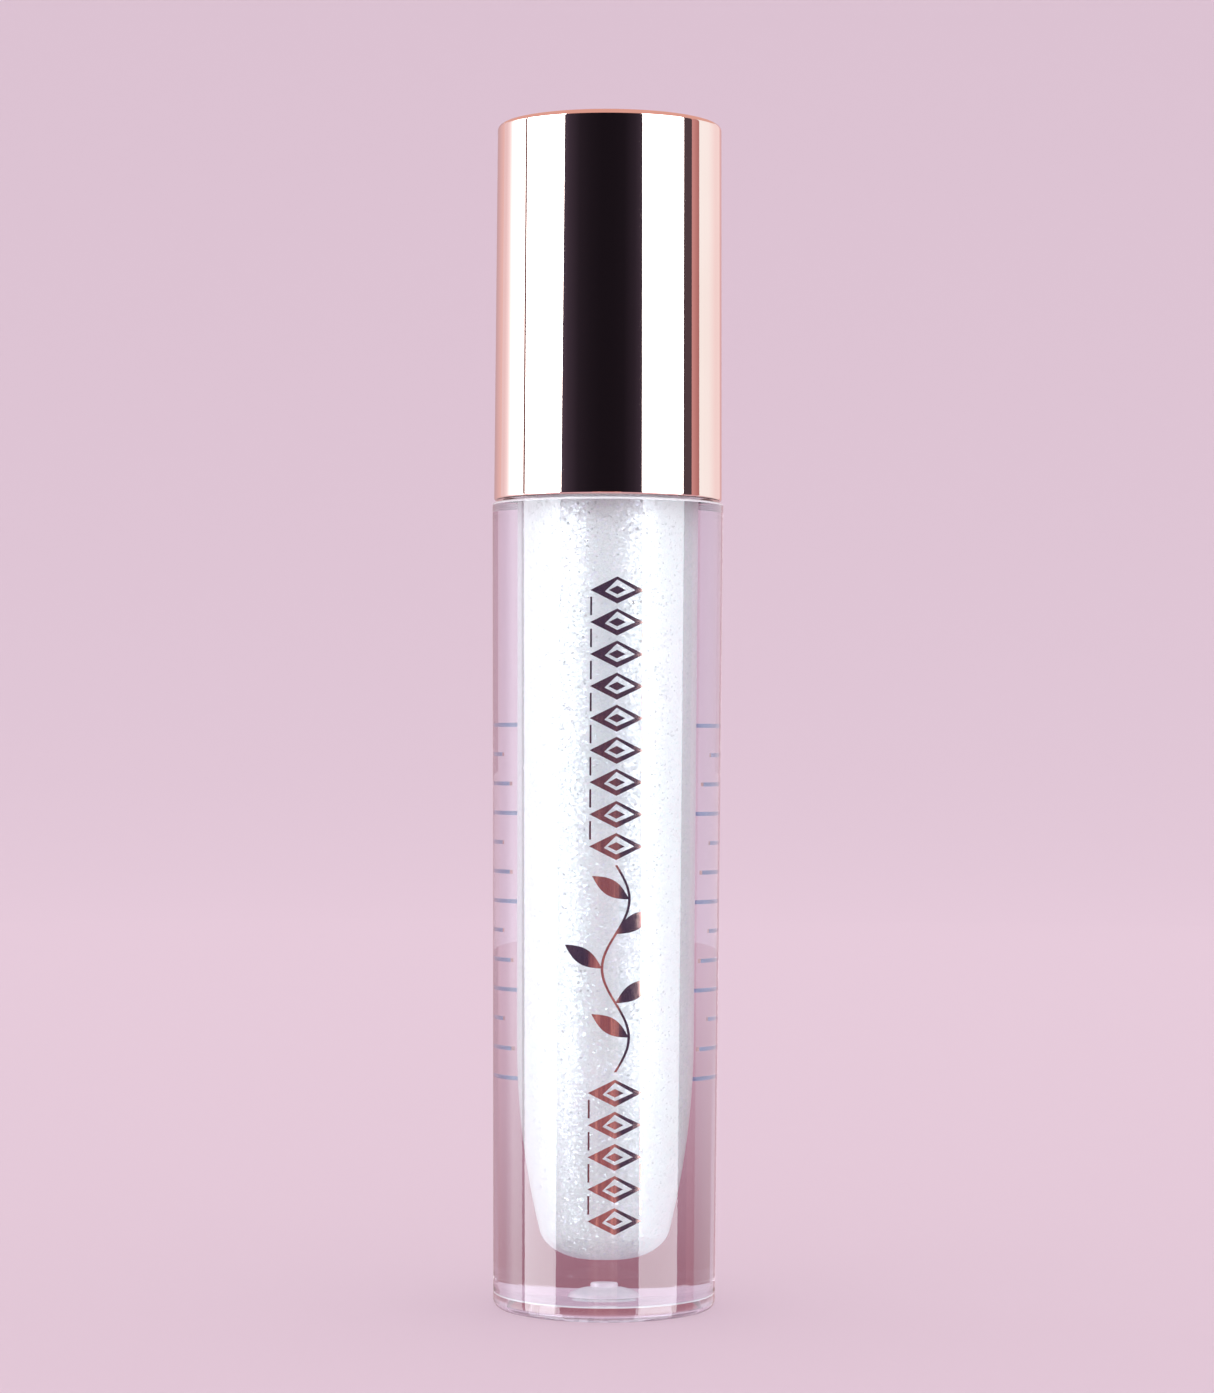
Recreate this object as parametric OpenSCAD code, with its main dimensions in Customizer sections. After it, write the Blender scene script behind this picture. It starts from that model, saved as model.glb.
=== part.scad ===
// Lip gloss tube: thick-wall clear bottle, screw cap with weight, wand and wiper.
// Millimetres. +Z runs up the bottle's axis, the foot stands on Z = 0, the front faces -Y.

/* [Bottle] */
// Height of the clear body, from the foot to the shoulder
body_h = 67.1; // [60:0.1:80]
// Diameter of the body at the shoulder
shoulder_d = 19.32; // [19:0.02:20]
// Diameter of the body at the foot
foot_d = 18.52; // [18.4:0.02:19.2]
// Radius of the rounded edge round the foot
foot_edge_r = 0.7; // [0.3:0.05:0.9]
// Radius of the rounded edge round the shoulder
shoulder_edge_r = 0.2; // [0.1:0.05:0.6]
// Diameter of the recess under the foot
recess_d = 16.2; // [14:0.1:16.4]
// Depth of the recess under the foot
recess_depth = 1.25; // [0.4:0.05:1.5]
// Diameter of the moulding gate's domed dimple
dimple_d = 3.86; // [3:0.02:5]
// Height of the dimple above the recess
dimple_h = 1; // [0.4:0.05:1.2]
// Diameter of the nub on top of the dimple
nub_d = 1.46; // [1:0.02:2]
// Height of the nub above the dimple
nub_h = 0.4; // [0.2:0.05:0.6]

/* [Chamber] */
// Thickness of the solid clear foot under the chamber
chamber_floor = 4.45; // [4:0.05:5]
// Diameter of the chamber at the shoulder
chamber_top_d = 9.6; // [9.2:0.05:9.8]
// Diameter of the chamber where its long taper begins
chamber_low_d = 9.36; // [9:0.02:9.5]
// Height at which the long taper begins
taper_top = 22.5; // [20:0.5:26]
// Radius of the long curve of the taper
taper_r = 100; // [95:1:200]
// Radius of the corner at the chamber's floor
chamber_corner_r = 2.6; // [2:0.1:3]

/* [Neck and thread] */
// Height of the threaded neck above the shoulder
neck_h = 11.9; // [11.5:0.1:13]
// Diameter of the neck under its thread
neck_d = 11.8; // [11.6:0.05:11.9]
// Diameter of the neck's bore
neck_bore_d = 10; // [9.9:0.02:10.2]
// Rise of the thread in one turn
thread_pitch = 2; // [1.8:0.1:2.2]
// How far a thread ridge stands out
thread_depth = 0.6; // [0.4:0.05:0.6]
// Turns of ridge on the neck and in the cap
thread_turns = 1.35; // [1:0.05:1.4]

/* [Cap] */
// Height of the outer cap
cap_h = 31.4; // [30:0.1:36]
// Open gap between the shoulder and the outer cap
cap_gap = 0.2; // [0.1:0.05:0.5]
// Diameter of the outer cap at its open end
cap_mouth_d = 19.06; // [18.9:0.02:19.2]
// Diameter of the outer cap at its closed end
cap_top_d = 18.74; // [18.5:0.02:18.9]
// Bore of the outer cap at its open end
cap_bore_d = 17; // [16.9:0.05:17.2]
// Radius of the rounded edge round the closed end
cap_edge_r = 0.4; // [0.2:0.05:0.8]
// Thickness of the closed end
cap_roof = 1.4; // [1:0.1:2]
// Height of the weight ring
weight_h = 8; // [5:0.5:8.5]
// Bore of the weight ring
weight_bore_d = 10.6; // [10.4:0.1:12]

/* [Wand] */
// Diameter of the wand's rod
stem_d = 4; // [3.6:0.1:4.2]
// Height of the rod's lower end above the foot
stem_end = 24; // [22:0.5:30]
// Height of the applicator's tip above the foot
tip_z = 6.8; // [6.5:0.1:8]
// Thickness of the flock coat
flock_t = 0.4; // [0.3:0.05:0.5]
// Diameter over the flocked tip
flock_d = 3.8; // [3.4:0.1:3.9]
// Running clearance of the rod in the wiper's lip, on the radius
lip_clearance = 0.06; // [0.03:0.01:0.1]

/* [Print] */
// Thickness of the printed foil as modelled
foil_t = 0.06; // [0.04:0.01:0.1]
// How far the front ornament's middle sits to the right of the axis
ornament_x = 0.8; // [0:0.1:1.5]
// Width of the ornament's lozenges
lozenge_w = 4.4; // [3:0.1:5]
// Height of a lozenge
lozenge_h = 2.2; // [1.6:0.1:2.4]

/* [Hidden] */
$fn = 96;

// Clearance between pieces that are pressed or stuck together, and between loose ones
fit_gap = 0.03;
loose_gap = 0.1;
// Overlap of solids that are joined into one
overlap = 0.25;

// Bottle
neck_top = body_h + neck_h;
neck_r = neck_d / 2;
neck_bore_r = neck_bore_d / 2;
neck_chamfer = 0.25;
neck_fillet = 0.4;
neck_bead_z = body_h + 2.2;
neck_bead_r = 0.45;
recess_r = recess_d / 2;
nub_chamfer = 0.1;
nub_flat_r = nub_d / 4;

// Chamber: a drafted wall, a long curve and a round corner, each tangent to the next
taper_cx = chamber_low_d / 2 - taper_r;
corner_z = chamber_floor + chamber_corner_r;
taper_angle = asin((corner_z - taper_top) / (taper_r - chamber_corner_r));
corner_cx = taper_cx + (taper_r - chamber_corner_r) * cos(taper_angle);
throat_z = body_h + 0.5;
throat_h = 0.5;

// Threads: both ridges are trapezoids with the same flanks
crest_half = 0.25;
flank_slope = 0.5;
root_half = crest_half + flank_slope * thread_depth;
flank_gap = 0.12;
thread_segments = 36;
thread_fade = 40;
neck_thread_z = neck_top - 4.5;
crest_r = neck_r + thread_depth;
cap_crest_r = neck_r + 0.2;
cap_thread_r = cap_crest_r + thread_depth;
ridge_overlap = crest_r - cap_crest_r;
cap_thread_z = neck_thread_z - 2 * crest_half - flank_slope * ridge_overlap - flank_gap;

// Wiper and gasket on the neck's rim
wiper_flange_t = 0.8;
wiper_flange_r = 5.75;
wiper_r = neck_bore_r - fit_gap;
wiper_wall = 0.75;
lip_r = stem_d / 2 + lip_clearance;
lip_z = body_h + 2.5;
lip_t = 0.3;
lip_edge_h = 0.45;
lip_cone_h = 2.6;
wiper_bend = 0.4;
wiper_relief = 0.35;
wiper_chamfer = 0.15;
wiper_top = neck_top + fit_gap + wiper_flange_t;
gasket_t = 0.75;
gasket_r = 5.5;
gasket_bore_r = 2.7;

// Outer cap
cap_mouth_z = body_h + cap_gap;
cap_top_z = cap_mouth_z + cap_h;
cap_lip_r = 0.2;
cap_bore_top_r = 8.36;
cap_bore_top_z = cap_top_z - cap_roof;
cap_corner_r = 0.8;
cap_chamfer = 0.3;

// Inner cap
inner_z = cap_mouth_z + 0.4;
inner_r = 7.9;
inner_rim_r = 8.4;
inner_rim_h = 1;
inner_roof_z = wiper_top + gasket_t + 2 * fit_gap;
inner_roof_t = 1.3;
inner_roof_r = 8.3;
inner_top = inner_roof_z + inner_roof_t;
rib_count = 12;
rib_w = 0.8;
boss_r = 3.4;
boss_h = 8.8;
gusset_count = 4;
gusset_h = 4;
gusset_r = 5.1;
socket_gap = fit_gap;
socket_top = inner_top + boss_h - 0.9;

// Weight ring
weight_z = inner_top + loose_gap;
weight_r = 8.15;
weight_chamfer = 0.3;

// Wand
stem_r = stem_d / 2;
stem_top = socket_top - 0.2;
stem_chamfer = 0.4;
stem_end_chamfer = 0.15;
snap_z = inner_top + 5;
snap_r = stem_r + 0.22;
snap_half = 0.6;
snap_step = 0.1;
shank_r = 1.2;
shank_h = 5;
tip_neck_r = 0.95;
tip_neck_h = 2.4;
tip_collar_h = 0.8;
tip_collar_r = 1.75;
flock_r = flock_d / 2;
core_r = flock_r - flock_t;
tip_top = stem_end - tip_collar_h - tip_neck_h;
tip_nose_r = 1.1;
tip_shoulder_r = 0.6;
tip_shoulder_h = 1;
slant_angle = 17;
slant_y = 0.7;
slant_cut = [10, 10, 22];

// Filling, with room for the wand
fill_gap = fit_gap;
fill_top = body_h + 1.3;
fill_bore_r = 2.2;
fill_bore_z = tip_z - 0.8;

// Print and label
print_gap = 0.005;
print_low = 2;
print_high = 64;
label_r = recess_r - 0.3;
label_t = 0.1;
lower_lozenges = 5;
lower_z = 8.3;
upper_lozenges = 9;
upper_z = 38.7;
lozenge_step = 2.6;
frame_left = 1.2;
frame_right = 0.74;
frame_low = 0.46;
frame_high = 0.25;
frame_drop = 0.12;
diamond_w = 1.4;
diamond_h = 0.7;
rule_w = 0.16;
rule_h = 1.5;
sprig_low = 20.4;
sprig_high = 37.2;
sprig_sway = 1.1;
sprig_waves = 1.5;
sprig_stroke = 0.22;
sprig_steps = 28;
leaf_l = 3.6;
leaf_w = 1.3;
leaf_count = 5;
leaf_lean = 58;
leaf_steps = 8;
back_low = 18.6;
back_step = 2.5;
back_rows = 13;
back_bar_h = 0.34;
back_bar_w = 3.6;
back_bar_cut = 0.7;

// Points of an arc about [x, z], from angle a0 to a1
function arc(x, z, r, a0, a1, steps = 5) =
    [for (i = [0:steps]) let (a = a0 + (a1 - a0) * i / steps) [x + r * cos(a), z + r * sin(a)]];

// Radius of the body's drafted wall at a height
function wall_r(z) =
    foot_d / 2 + (shoulder_d - foot_d) / 2 * (z - foot_edge_r) / (body_h - foot_edge_r - shoulder_edge_r);

// Outline of the chamber, shrunk by a gap, up to a height
function chamber_outline(gap, top_r, top_z) = concat(
    [[0, chamber_floor + gap]],
    arc(corner_cx, corner_z, chamber_corner_r - gap, -90, taper_angle, 10),
    arc(taper_cx, taper_top, taper_r - gap, taper_angle, 0, 8),
    [[top_r - gap, top_z], [0, top_z]]
);

// Trapezoid ridge wound up a helix. r_low and r_high are its inner and outer radii, and
// half_low and half_high its half widths there. It fades into its root at both ends.
module helix_ridge(r_low, r_high, half_low, half_high, z0, outward) {
    steps = round(thread_turns * thread_segments);
    function fade(i) = min(1, min(i, steps - i) * 360 / thread_segments / thread_fade);
    function lo(i) = outward ? r_low : r_high - overlap - (r_high - overlap - r_low) * fade(i);
    function hi(i) = outward ? r_low + overlap + (r_high - overlap - r_low) * fade(i) : r_high;
    points = [
        for (i = [0:steps])
            let (
                a = 360 * i / thread_segments,
                z = z0 + thread_pitch * i / thread_segments,
                section = [
                    [lo(i), -half_low],
                    [hi(i), -half_high],
                    [hi(i), half_high],
                    [lo(i), half_low]
                ]
            )
            for (p = section) [p[0] * cos(a), p[0] * sin(a), z + p[1]]
    ];
    sides = [
        for (i = [0:steps - 1])
            for (k = [0:3])
                let (a = i * 4 + k, b = i * 4 + (k + 1) % 4)
                for (f = [[a, b, b + 4], [a, b + 4, a + 4]]) f
    ];
    last = steps * 4;
    ends = [[3, 2, 1], [3, 1, 0], [last, last + 1, last + 2], [last, last + 2, last + 3]];
    polyhedron(points = points, faces = concat(sides, ends), convexity = 4);
}

module tube_outline() {
    foot_r = foot_d / 2;
    shoulder_r = shoulder_d / 2;
    polygon(concat(
        [[0, 0]],
        arc(foot_r - foot_edge_r, foot_edge_r, foot_edge_r, -90, 0, 6),
        arc(shoulder_r - shoulder_edge_r, body_h - shoulder_edge_r, shoulder_edge_r, 0, 90, 6),
        arc(neck_r + neck_fillet, body_h + neck_fillet, neck_fillet, 270, 180, 4),
        arc(neck_r, neck_bead_z, neck_bead_r, -90, 90, 8),
        [[neck_r, neck_top - neck_chamfer], [neck_r - neck_chamfer, neck_top], [0, neck_top]]
    ));
}

// Flattened dome with a nub on top, open to the recess
module dimple_outline() {
    dome = [
        for (a = [0:15:60])
            [dimple_d / 2 * cos(a), recess_depth + dimple_h * sin(a)]
    ];
    nub_r = nub_d / 2;
    nub_z = recess_depth + dimple_h;
    nub_top = nub_z + nub_h;
    nub = [
        [nub_r, nub_z],
        [nub_r - nub_chamfer, nub_top - nub_chamfer],
        [nub_flat_r, nub_top],
        [0, nub_top]
    ];
    base = [[0, recess_depth - overlap], [dimple_d / 2, recess_depth - overlap]];
    polygon(concat(base, dome, nub));
}

// Clear bottle: solid foot, chamber, threaded neck and the gate's dimple in the recess
module tube_body() {
    color([0.95, 0.88, 0.92, 0.4])
    difference() {
        union() {
            rotate_extrude() tube_outline();
            helix_ridge(
                neck_r - overlap, crest_r, root_half + flank_slope * overlap, crest_half,
                neck_thread_z, true
            );
        }
        rotate_extrude() polygon(chamber_outline(0, chamber_top_d / 2, body_h));
        translate([0, 0, body_h - overlap])
            cylinder(h = throat_z - body_h + overlap, r = chamber_top_d / 2);
        translate([0, 0, throat_z])
            cylinder(h = throat_h, r1 = chamber_top_d / 2, r2 = neck_bore_r);
        translate([0, 0, throat_z + throat_h])
            cylinder(h = neck_h, r = neck_bore_r);
        translate([0, 0, -1])
            cylinder(h = 1 + recess_depth, r = recess_r);
        rotate_extrude() dimple_outline();
    }
}

// Filling of the chamber, a rigid solid with a well in which the wand hangs
module gloss_fill() {
    color([0.88, 0.9, 0.94])
    difference() {
        union() {
            rotate_extrude() polygon(chamber_outline(fill_gap, chamber_top_d / 2, body_h));
            translate([0, 0, body_h - overlap])
                cylinder(h = fill_top - body_h + overlap, r = chamber_top_d / 2 - fill_gap);
        }
        translate([0, 0, fill_bore_z])
            cylinder(h = fill_top, r = fill_bore_r);
    }
}

// Thin shell on the body's wall, from which the prints are cut
module print_shell() {
    rotate_extrude()
        polygon([
            [wall_r(print_low) + print_gap, print_low],
            [wall_r(print_low) + print_gap + foil_t, print_low],
            [wall_r(print_high) + print_gap + foil_t, print_high],
            [wall_r(print_high) + print_gap, print_high]
        ]);
}

// Carries a drawing in X and Z onto the front half, or the back half, of the wall
module on_wall(side) {
    intersection() {
        print_shell();
        translate([0, side > 0 ? shoulder_d : 0, 0])
            rotate([90, 0, 0])
                linear_extrude(height = shoulder_d) children();
    }
}

// Diamond with its corners half a width and half a height from the origin
module diamond(width, height) {
    w = width / 2;
    h = height / 2;
    polygon([[-w, 0], [0, -h], [w, 0], [0, h]]);
}

// Lozenge frame with two thick and two thin sides, and a small diamond in it
module lozenge() {
    w = lozenge_w / 2;
    h = lozenge_h / 2;
    difference() {
        diamond(lozenge_w, lozenge_h);
        polygon([
            [frame_left - w, -frame_drop],
            [0, frame_low - h],
            [w - frame_right, 0],
            [0, h - frame_high]
        ]);
    }
    diamond(diamond_w, diamond_h);
}

// Column of lozenges with short rules at both sides of each waist
module lozenge_column(first_z, count) {
    for (i = [0:count - 1])
        translate([ornament_x, first_z + i * lozenge_step]) {
            lozenge();
            if (i < count - 1)
                for (x = [-1, 1])
                    translate([x * (lozenge_w - rule_w) / 2, lozenge_step / 2])
                        square([rule_w, rule_h], center = true);
        }
}

// Sideways place of the sprig's stem at a height
function sprig_x(z) =
    ornament_x + sprig_sway * sin(360 * sprig_waves * (z - sprig_low) / (sprig_high - sprig_low));

// Twining stem with slender leaves on alternate sides
module sprig() {
    function sprig_z(i) = sprig_low + (sprig_high - sprig_low) * i / sprig_steps;
    left = [for (i = [0:sprig_steps]) [sprig_x(sprig_z(i)) - sprig_stroke / 2, sprig_z(i)]];
    right = [for (i = [sprig_steps:-1:0]) [sprig_x(sprig_z(i)) + sprig_stroke / 2, sprig_z(i)]];
    polygon(concat(left, right));
    for (i = [1:leaf_count])
        let (
            z = sprig_low + (sprig_high - sprig_low) * i / (leaf_count + 1),
            side = i % 2 == 0 ? 1 : -1
        )
        translate([sprig_x(z), z])
            rotate(90 - side * leaf_lean)
                leaf();
}

// Pointed leaf from the origin along +X
module leaf() {
    function bow(i) = leaf_w / 2 * sin(180 * i / leaf_steps);
    upper = [for (i = [0:leaf_steps]) [leaf_l * i / leaf_steps, bow(i)]];
    lower = [for (i = [leaf_steps - 1:-1:1]) [leaf_l * i / leaf_steps, -bow(i)]];
    polygon(concat(upper, lower));
}

// Hot-stamped ornament on the front
module front_foil() {
    color([0.25, 0.17, 0.2])
    on_wall(-1) {
        lozenge_column(lower_z, lower_lozenges);
        sprig();
        lozenge_column(upper_z, upper_lozenges);
    }
}

// Ladder of short bars on the back
module back_foil() {
    color([0.25, 0.17, 0.2])
    on_wall(1)
        for (i = [0:back_rows - 1])
            translate([0, back_low + i * back_step])
                square([back_bar_w - (i % 3) * back_bar_cut, back_bar_h], center = true);
}

// Clear label stuck in the recess under the foot
module base_label() {
    color([0.85, 0.8, 0.85])
    translate([0, 0, recess_depth - label_t - print_gap])
        cylinder(h = label_t, r = label_r);
}

// Soft insert in the neck: flange on the rim, sleeve, and a cone that ends in the wiping lip
module wiper() {
    bore_r = wiper_r - wiper_wall;
    cone_top = lip_z + lip_cone_h;
    color([0.93, 0.93, 0.93])
    rotate_extrude()
        polygon([
            [lip_r, lip_z],
            [lip_r + lip_t, lip_z],
            [wiper_r - wiper_relief, cone_top - lip_t],
            [wiper_r, cone_top + wiper_bend],
            [wiper_r, neck_top + fit_gap],
            [wiper_flange_r, neck_top + fit_gap],
            [wiper_flange_r, wiper_top - wiper_chamfer],
            [wiper_flange_r - wiper_chamfer, wiper_top],
            [bore_r + wiper_relief, wiper_top],
            [bore_r, wiper_top - wiper_relief],
            [bore_r, cone_top + wiper_bend],
            [lip_r, lip_z + lip_edge_h]
        ]);
}

// Sealing ring between the wiper's flange and the inner cap's roof
module gasket() {
    color([0.9, 0.9, 0.86])
    translate([0, 0, wiper_top + fit_gap])
        difference() {
            cylinder(h = gasket_t, r = gasket_r);
            translate([0, 0, -1])
                cylinder(h = gasket_t + 2, r = gasket_bore_r);
        }
}

// Metallised outer cap, closed at the top
module cap_shell() {
    mouth_r = cap_mouth_d / 2;
    top_r = cap_top_d / 2;
    bore_r = cap_bore_d / 2;
    color([0.85, 0.62, 0.56])
    rotate_extrude()
        polygon(concat(
            arc(mouth_r - cap_lip_r, cap_mouth_z + cap_lip_r, cap_lip_r, -90, 0, 4),
            arc(top_r - cap_edge_r, cap_top_z - cap_edge_r, cap_edge_r, 0, 90, 6),
            [[0, cap_top_z], [0, cap_bore_top_z]],
            arc(cap_bore_top_r - cap_corner_r, cap_bore_top_z - cap_corner_r, cap_corner_r, 90, 0, 5),
            [[bore_r, cap_mouth_z + cap_chamfer], [bore_r + cap_chamfer, cap_mouth_z]]
        ));
}

// Steel ring that gives the cap its weight, loose between the inner and the outer cap
module cap_weight() {
    bore_r = weight_bore_d / 2;
    color([0.7, 0.71, 0.73])
    translate([0, 0, weight_z])
        rotate_extrude()
            polygon([
                [bore_r, 0],
                [weight_r - weight_chamfer, 0],
                [weight_r, weight_chamfer],
                [weight_r, weight_h - weight_chamfer],
                [weight_r - weight_chamfer, weight_h],
                [bore_r, weight_h]
            ]);
}

// Threaded liner: skirt with grip ribs, roof, and the boss that holds the rod
module inner_cap() {
    color([0.92, 0.92, 0.92])
    union() {
        difference() {
            union() {
                translate([0, 0, inner_z])
                    cylinder(h = inner_top - inner_z, r = inner_r);
                translate([0, 0, inner_z])
                    cylinder(h = inner_rim_h, r = inner_rim_r);
                translate([0, 0, inner_roof_z])
                    cylinder(h = inner_roof_t, r = inner_roof_r);
                translate([0, 0, inner_top - overlap])
                    cylinder(h = boss_h + overlap, r = boss_r);
                inner_ribs();
                boss_gussets();
            }
            translate([0, 0, inner_z - 1])
                cylinder(h = inner_roof_z - inner_z + 1, r = cap_thread_r);
            translate([0, 0, inner_roof_z - 1])
                cylinder(h = socket_top - inner_roof_z + 1, r = stem_r + socket_gap);
            translate([0, 0, snap_z - snap_half - socket_gap])
                cylinder(h = 2 * (snap_half + socket_gap), r = snap_r + socket_gap);
        }
        helix_ridge(
            cap_crest_r, cap_thread_r + overlap, crest_half, root_half + flank_slope * overlap,
            cap_thread_z, false
        );
    }
}

// Upright ribs that grip the outer cap's bore
module inner_ribs() {
    for (i = [0:rib_count - 1])
        rotate(i * 360 / rib_count)
            translate([inner_r - overlap, -rib_w / 2, inner_z])
                cube([inner_roof_r - inner_r + overlap - 0.05, rib_w, inner_top - inner_z]);
}

// Fins that brace the boss against the roof
module boss_gussets() {
    for (i = [0:gusset_count - 1])
        rotate(i * 360 / gusset_count + 45)
            translate([0, -rib_w / 2, inner_top - overlap])
                cube([gusset_r, rib_w, gusset_h]);
}

// Wand's rod, with a snap bead in the boss and a socket for the applicator
module stem() {
    color([0.94, 0.93, 0.92])
    difference() {
        rotate_extrude()
            polygon([
                [0, stem_end],
                [stem_r - stem_end_chamfer, stem_end],
                [stem_r, stem_end + stem_end_chamfer],
                [stem_r, snap_z - snap_half],
                [snap_r, snap_z - snap_half + snap_step],
                [snap_r, snap_z],
                [stem_r, snap_z + snap_half],
                [stem_r, stem_top - stem_chamfer],
                [stem_r - stem_chamfer, stem_top],
                [0, stem_top]
            ]);
        translate([0, 0, stem_end - 1])
            cylinder(h = shank_h + 1 + 2 * loose_gap, r = shank_r + socket_gap);
    }
}

// Rounded finger with a slanted face, as wide as r, for the tip and its coat
module doe_foot(r, grow) {
    low = tip_z + flock_t - grow;
    high = tip_top + grow;
    difference() {
        rotate_extrude()
            polygon(concat(
                [[0, low]],
                arc(r - tip_nose_r, low + tip_nose_r, tip_nose_r, -90, 0, 6),
                [[r, high - tip_shoulder_h], [r - tip_shoulder_r, high], [0, high]]
            ));
        translate([0, slant_y - grow, tip_z])
            rotate([slant_angle, 0, 0])
                translate([-slant_cut.x / 2, -slant_cut.y, -slant_cut.z / 4])
                    cube(slant_cut);
    }
}

// Applicator: shank in the rod, collar, thin neck and slanted tip
module applicator_core() {
    color([0.95, 0.93, 0.9])
    union() {
        doe_foot(core_r, 0);
        translate([0, 0, tip_top - overlap])
            cylinder(h = tip_neck_h + 2 * overlap, r = tip_neck_r);
        translate([0, 0, stem_end - tip_collar_h - fit_gap])
            cylinder(h = tip_collar_h, r = tip_collar_r);
        translate([0, 0, stem_end - overlap])
            cylinder(h = shank_h + overlap, r = shank_r);
    }
}

// Flock coat of the tip
module flocking() {
    color([0.97, 0.95, 0.96])
    difference() {
        doe_foot(flock_r, flock_t);
        doe_foot(core_r + fit_gap, fit_gap);
        translate([0, 0, tip_top - overlap])
            cylinder(h = tip_neck_h, r = tip_neck_r + fit_gap);
    }
}

tube_body();
gloss_fill();
front_foil();
back_foil();
base_label();
wiper();
gasket();
cap_shell();
cap_weight();
inner_cap();
stem();
applicator_core();
flocking();
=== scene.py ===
import math
import random

import bmesh
import bpy
from mathutils import Matrix, Vector


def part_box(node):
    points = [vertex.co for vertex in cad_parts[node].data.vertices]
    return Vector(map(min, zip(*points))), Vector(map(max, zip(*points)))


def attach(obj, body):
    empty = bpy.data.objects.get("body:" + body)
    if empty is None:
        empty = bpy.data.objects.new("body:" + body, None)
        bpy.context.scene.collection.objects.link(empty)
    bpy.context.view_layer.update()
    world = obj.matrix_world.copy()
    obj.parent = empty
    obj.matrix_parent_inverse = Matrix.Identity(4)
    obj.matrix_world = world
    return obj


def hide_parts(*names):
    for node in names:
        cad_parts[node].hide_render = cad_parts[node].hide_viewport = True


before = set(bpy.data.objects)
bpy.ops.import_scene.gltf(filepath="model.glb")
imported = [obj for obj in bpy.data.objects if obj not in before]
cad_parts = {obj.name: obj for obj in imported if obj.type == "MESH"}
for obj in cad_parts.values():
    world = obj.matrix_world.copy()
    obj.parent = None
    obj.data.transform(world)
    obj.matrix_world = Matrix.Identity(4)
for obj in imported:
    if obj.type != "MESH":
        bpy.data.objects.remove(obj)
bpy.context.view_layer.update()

# Outlines are written in millimetres and scaled to metres as they are made.
MM = 0.001
TURNS = 256
STUDIO_TURNS = 96


# --- measures read from the frame -------------------------------------------------------


def box(node):
    """Lowest and highest corner of a CAD node, in millimetres."""
    low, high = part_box(node)
    return low / MM, high / MM


def reach(node, low, high):
    """Smallest and largest radius of a CAD node's points between two heights, in millimetres."""
    points = [v.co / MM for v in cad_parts[node].data.vertices]
    radii = [math.hypot(p.x, p.y) for p in points if low <= p.z <= high]
    return min(radii), max(radii)


# --- mesh helpers -----------------------------------------------------------------------


def arc(r, z, radius, start, end, steps=8):
    """Points of an arc about the point (r, z), from one angle to another in degrees."""
    angles = [math.radians(start + (end - start) * i / steps) for i in range(steps + 1)]
    return [(r + radius * math.cos(a), z + radius * math.sin(a)) for a in angles]


def rounded(corners, closed=False, steps=6, support=0.15):
    """Outline through corners (r, z, fillet), with a support point beside each fillet."""
    points = []
    last = len(corners) - 1
    for i, (r, z, fillet) in enumerate(corners):
        here = Vector((r, z))
        if fillet == 0 or (not closed and i in (0, last)):
            points.append((r, z))
            continue
        back = (Vector(corners[i - 1][:2]) - here).normalized()
        on = (Vector(corners[(i + 1) % len(corners)][:2]) - here).normalized()
        half = back.angle(on) / 2
        reach_along = fillet / math.tan(half)
        centre = here + (back + on).normalized() * fillet / math.sin(half)
        first = here + back * reach_along - centre
        final = here + on * reach_along - centre
        turn = math.pi - 2 * half
        if first.x * final.y < first.y * final.x:
            turn = -turn
        points.append(tuple(here + back * reach_along * (1 + support)))
        for k in range(steps + 1):
            a = turn * k / steps
            spun = Vector((
                first.x * math.cos(a) - first.y * math.sin(a),
                first.x * math.sin(a) + first.y * math.cos(a),
            ))
            points.append(tuple(centre + spun))
        points.append(tuple(here + on * reach_along * (1 + support)))
    return points


def upright(r, low, high, step):
    """Evenly spaced points of a straight upright wall."""
    count = max(1, round(abs(high - low) / step))
    return [(r, low + (high - low) * i / count) for i in range(count + 1)]


def lathe(outline, turns=TURNS, closed=False, shift=None):
    """Mesh of an outline of (r, z) points in millimetres, turned round the Z axis."""
    bm = bmesh.new()
    angles = [2 * math.pi * i / turns for i in range(turns)]
    rings = []
    for r, z in outline:
        if r < 1e-6:
            rings.append([bm.verts.new((0, 0, z * MM))])
            continue
        ring = []
        for a in angles:
            radius = (r + (shift(a, r, z) if shift else 0)) * MM
            ring.append(bm.verts.new((radius * math.cos(a), radius * math.sin(a), z * MM)))
        rings.append(ring)
    pairs = list(zip(rings, rings[1:]))
    if closed:
        pairs.append((rings[-1], rings[0]))
    for low, high in pairs:
        for i in range(turns):
            j = (i + 1) % turns
            below = [low[i % len(low)], low[j % len(low)]]
            above = [high[j % len(high)], high[i % len(high)]]
            corners = list(dict.fromkeys(below + above))
            if len(corners) > 2:
                bm.faces.new(corners)
    bmesh.ops.recalc_face_normals(bm, faces=bm.faces)
    return bm


def add_object(name, bm, material, sharp):
    """Object made from a bmesh, smooth but for its sharp edges."""
    mesh = bpy.data.meshes.new(name)
    bm.to_mesh(mesh)
    bm.free()
    mesh.materials.append(material)
    mesh.polygons.foreach_set("use_smooth", [True] * len(mesh.polygons))
    mesh.set_sharp_from_angle(angle=math.radians(sharp))
    obj = bpy.data.objects.new(name, mesh)
    bpy.context.scene.collection.objects.link(obj)
    return obj


def add_piece(name, bm, material, body, slot, *nodes, sharp=40):
    """Object that rides on a body and stands for CAD nodes. Its slot argument is not used."""
    obj = add_object(name, bm, material, sharp)
    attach(obj, body)
    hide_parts(*nodes)
    return obj


# --- material helpers -------------------------------------------------------------------


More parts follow.
